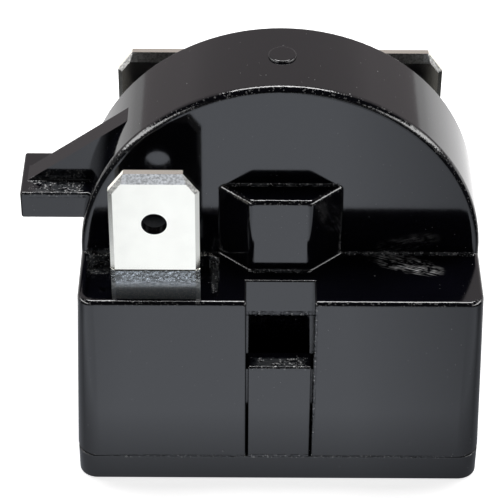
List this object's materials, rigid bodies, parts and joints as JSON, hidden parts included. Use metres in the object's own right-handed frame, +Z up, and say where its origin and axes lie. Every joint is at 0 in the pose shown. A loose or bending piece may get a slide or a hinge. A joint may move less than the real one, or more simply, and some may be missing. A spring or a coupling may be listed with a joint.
{
  "type": "compressor start relay",
  "caption": "Moulded start relay for a refrigerator compressor: rounded block with a half-disc dome, side lug, snap-in base cover, blade tabs on top and pin sockets below.",
  "frame": {"origin": "middle of the base cover's underside, between its front and back faces and its two sides", "axes": "+Z up out of the cover through the dome; the front with the boss and the single blade faces -Y; the side lug points to -X"},
  "size_m": [0.0337, 0.02, 0.0313],
  "materials": {
    "housing_plastic": "glossy black moulding",
    "cover_plastic": "glossy black moulding",
    "disc_ceramic": "sintered, with silvered faces",
    "rivet_brass": "plain turned",
    "spring_bronze": "rolled spring strip",
    "tinned_brass": "bright tin plate",
    "socket_brass": "plain turned",
    "clip_steel": "hardened spring strip"
  },
  "bodies": {
    "root": {"housing": "housing_plastic", "base_cover": "cover_plastic", "ptc_disc": "disc_ceramic", "spring_rivets": "rivet_brass", "front_contact_spring": "spring_bronze", "rear_contact_spring": "spring_bronze", "front_terminal": "tinned_brass", "rear_left_terminal": "tinned_brass", "rear_right_terminal": "tinned_brass", "front_pin_socket": "socket_brass", "rear_left_pin_socket": "socket_brass", "rear_right_pin_socket": "socket_brass", "front_socket_clip": "clip_steel", "rear_left_socket_clip": "clip_steel", "rear_right_socket_clip": "clip_steel"}
  },
  "joints": []
}
